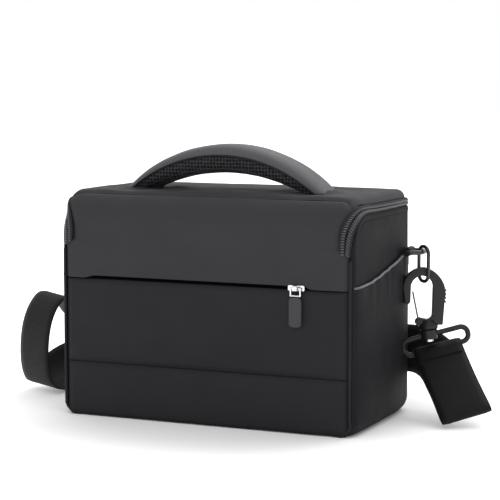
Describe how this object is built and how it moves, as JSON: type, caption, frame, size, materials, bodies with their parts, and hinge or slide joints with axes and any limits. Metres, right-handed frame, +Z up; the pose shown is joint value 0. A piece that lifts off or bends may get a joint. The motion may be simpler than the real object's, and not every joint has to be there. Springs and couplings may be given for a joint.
{
  "type": "camera bag",
  "caption": "Padded box-shaped camera bag with a front-hinged zipped lid, arched carrying handle, front zip pocket, side pockets and a clip-on webbing shoulder strap.",
  "frame": {"origin": "middle of the flat base, on the surface the bag stands on", "axes": "+Z up, +X to the right seen from the front, front face towards -Y"},
  "size_m": [0.4055, 0.1598, 0.211],
  "materials": {
    "shell_fabric": "smooth coated nylon, charcoal",
    "lining_cloth": "brushed loop cloth",
    "mesh_cloth": "open mesh",
    "air_mesh": "spacer mesh",
    "padding_foam": "closed-cell foam, hidden",
    "stiffener_board": "flat board, hidden",
    "zip_tape": "zip tape",
    "zip_coil": "nylon coil",
    "webbing": "woven webbing",
    "bright_metal": "polished zinc alloy",
    "pull_fabric": "soft moulded pull",
    "elastic_edge": "shiny elastic",
    "piping_cord": "piping",
    "pocket_cloth": "stretch cloth",
    "moulded_plastic": "moulded acetal",
    "black_metal": "black coated steel",
    "divider_cloth": "brushed loop cloth"
  },
  "bodies": {
    "bag": {"front_lower_band": "shell_fabric", "front_pocket_panel": "shell_fabric", "front_upper_strip": "shell_fabric", "back_panel": "shell_fabric", "left_side_panel": "shell_fabric", "right_side_panel": "shell_fabric", "base_panel": "shell_fabric", "front_foam": "padding_foam", "back_foam": "padding_foam", "left_foam": "padding_foam", "right_foam": "padding_foam", "base_board": "stiffener_board", "base_foam": "padding_foam", "lining": "lining_cloth", "main_zip_lower_tape": "zip_tape", "pocket_zip_tapes": "zip_tape", "pocket_zip_coil": "zip_coil", "left_side_pocket": "pocket_cloth", "right_side_pocket": "pocket_cloth", "side_pocket_elastics": "elastic_edge", "corner_piping": "piping_cord", "dring_tabs": "webbing", "right_strap_loop": "moulded_plastic", "left_strap_loop": "moulded_plastic", "right_strap_webbing": "webbing", "back_strap_webbing": "webbing", "left_strap_webbing": "webbing", "strap_ends": "webbing"},
    "lid": {"lid_front_panel": "shell_fabric", "lid_top_panel": "shell_fabric", "lid_gusset": "shell_fabric", "lid_foam": "padding_foam", "lid_lining": "lining_cloth", "lid_mesh_pocket": "mesh_cloth", "main_zip_upper_tape": "zip_tape", "handle_cover": "shell_fabric", "handle_core": "padding_foam", "handle_air_mesh": "air_mesh"},
    "pocket_slider": {"pocket_zip_slider": "bright_metal"},
    "pocket_pull": {"pocket_puller_ring": "bright_metal", "pocket_pull_tab": "pull_fabric"},
    "left_slider": {"left_main_slider": "bright_metal"},
    "left_pull": {"left_puller_ring": "bright_metal", "left_pull_tab": "pull_fabric"},
    "right_slider": {"right_main_slider": "bright_metal"},
    "right_pull": {"right_puller_ring": "bright_metal", "right_pull_tab": "pull_fabric"},
    "left_divider_pad": {"left_divider": "divider_cloth"},
    "right_divider_pad": {"right_divider": "divider_cloth"},
    "left_ring": {"left_dring": "black_metal"},
    "right_ring": {"right_dring": "black_metal"},
    "left_hook": {"left_snap_hook": "moulded_plastic", "left_swivel_pin": "black_metal", "left_link": "black_metal"},
    "right_hook": {"right_snap_hook": "moulded_plastic", "right_swivel_pin": "black_metal", "right_link": "black_metal"},
    "left_gate": {"left_hook_gate": "bright_metal"},
    "right_gate": {"right_hook_gate": "bright_metal"},
    "strap_keeper": {"strap_slider": "moulded_plastic"}
  },
  "joints": [
    {"name": "lid_hinge", "type": "hinge", "parent": "bag", "child": "lid", "pos_m": [0, -0.064, 0.137], "axis": [1, 0, 0], "range_deg": [0, 110]},
    {"name": "pocket_zip_run", "type": "slide", "parent": "bag", "child": "pocket_slider", "axis": [-1, 0, 0], "range_m": [0, 0.155]},
    {"name": "pocket_pull_swing", "type": "hinge", "parent": "pocket_slider", "child": "pocket_pull", "pos_m": [0.0775, -0.0676, 0.1095], "axis": [-1, 0, 0], "range_deg": [0, 100]},
    {"name": "left_zip_run", "type": "slide", "parent": "bag", "child": "left_slider", "axis": [-1, 0, 0], "range_m": [0, 0.09]},
    {"name": "left_pull_swing", "type": "hinge", "parent": "left_slider", "child": "left_pull", "pos_m": [-0.011, 0.0676, 0.166], "axis": [1, 0, 0], "range_deg": [0, 150]},
    {"name": "right_zip_run", "type": "slide", "parent": "bag", "child": "right_slider", "axis": [1, 0, 0], "range_m": [0, 0.09]},
    {"name": "right_pull_swing", "type": "hinge", "parent": "right_slider", "child": "right_pull", "pos_m": [0.011, 0.0676, 0.166], "axis": [1, 0, 0], "range_deg": [0, 150]},
    {"name": "left_divider_move", "type": "slide", "parent": "bag", "child": "left_divider_pad", "axis": [-1, 0, 0], "range_m": [-0.025, 0.03]},
    {"name": "right_divider_move", "type": "slide", "parent": "bag", "child": "right_divider_pad", "axis": [1, 0, 0], "range_m": [-0.025, 0.03]},
    {"name": "left_ring_swing", "type": "hinge", "parent": "bag", "child": "left_ring", "pos_m": [-0.1265, 0.047, 0.128], "axis": [0, -1, 0], "range_deg": [0, 14]},
    {"name": "right_ring_swing", "type": "hinge", "parent": "bag", "child": "right_ring", "pos_m": [0.1265, 0.047, 0.128], "axis": [0, 1, 0], "range_deg": [0, 14]},
    {"name": "left_hook_swivel", "type": "hinge", "parent": "bag", "child": "left_hook", "pos_m": [-0.1428, 0.04889, 0.062], "axis": [-0.065, 0.0286, -0.9975], "range_deg": [-5, 20]},
    {"name": "right_hook_swivel", "type": "hinge", "parent": "bag", "child": "right_hook", "pos_m": [0.1428, 0.04889, 0.062], "axis": [-0.065, -0.0286, 0.9975], "range_deg": [-5, 20]},
    {"name": "left_gate_hinge", "type": "hinge", "parent": "left_hook", "child": "left_gate", "pos_m": [-0.1352, 0.04555, 0.0736], "axis": [-0.4031, -0.9152, 0], "range_deg": [0, 22], "stiffness_Nm_per_rad": 0.004, "springref_deg": -22.92},
    {"name": "right_gate_hinge", "type": "hinge", "parent": "right_hook", "child": "right_gate", "pos_m": [0.1352, 0.04555, 0.0736], "axis": [-0.4031, 0.9152, 0], "range_deg": [0, 22], "stiffness_Nm_per_rad": 0.004, "springref_deg": -22.92},
    {"name": "strap_keeper_slide", "type": "slide", "parent": "bag", "child": "strap_keeper", "axis": [1, 0, 0], "range_m": [-0.006, 0.006]}
  ]
}
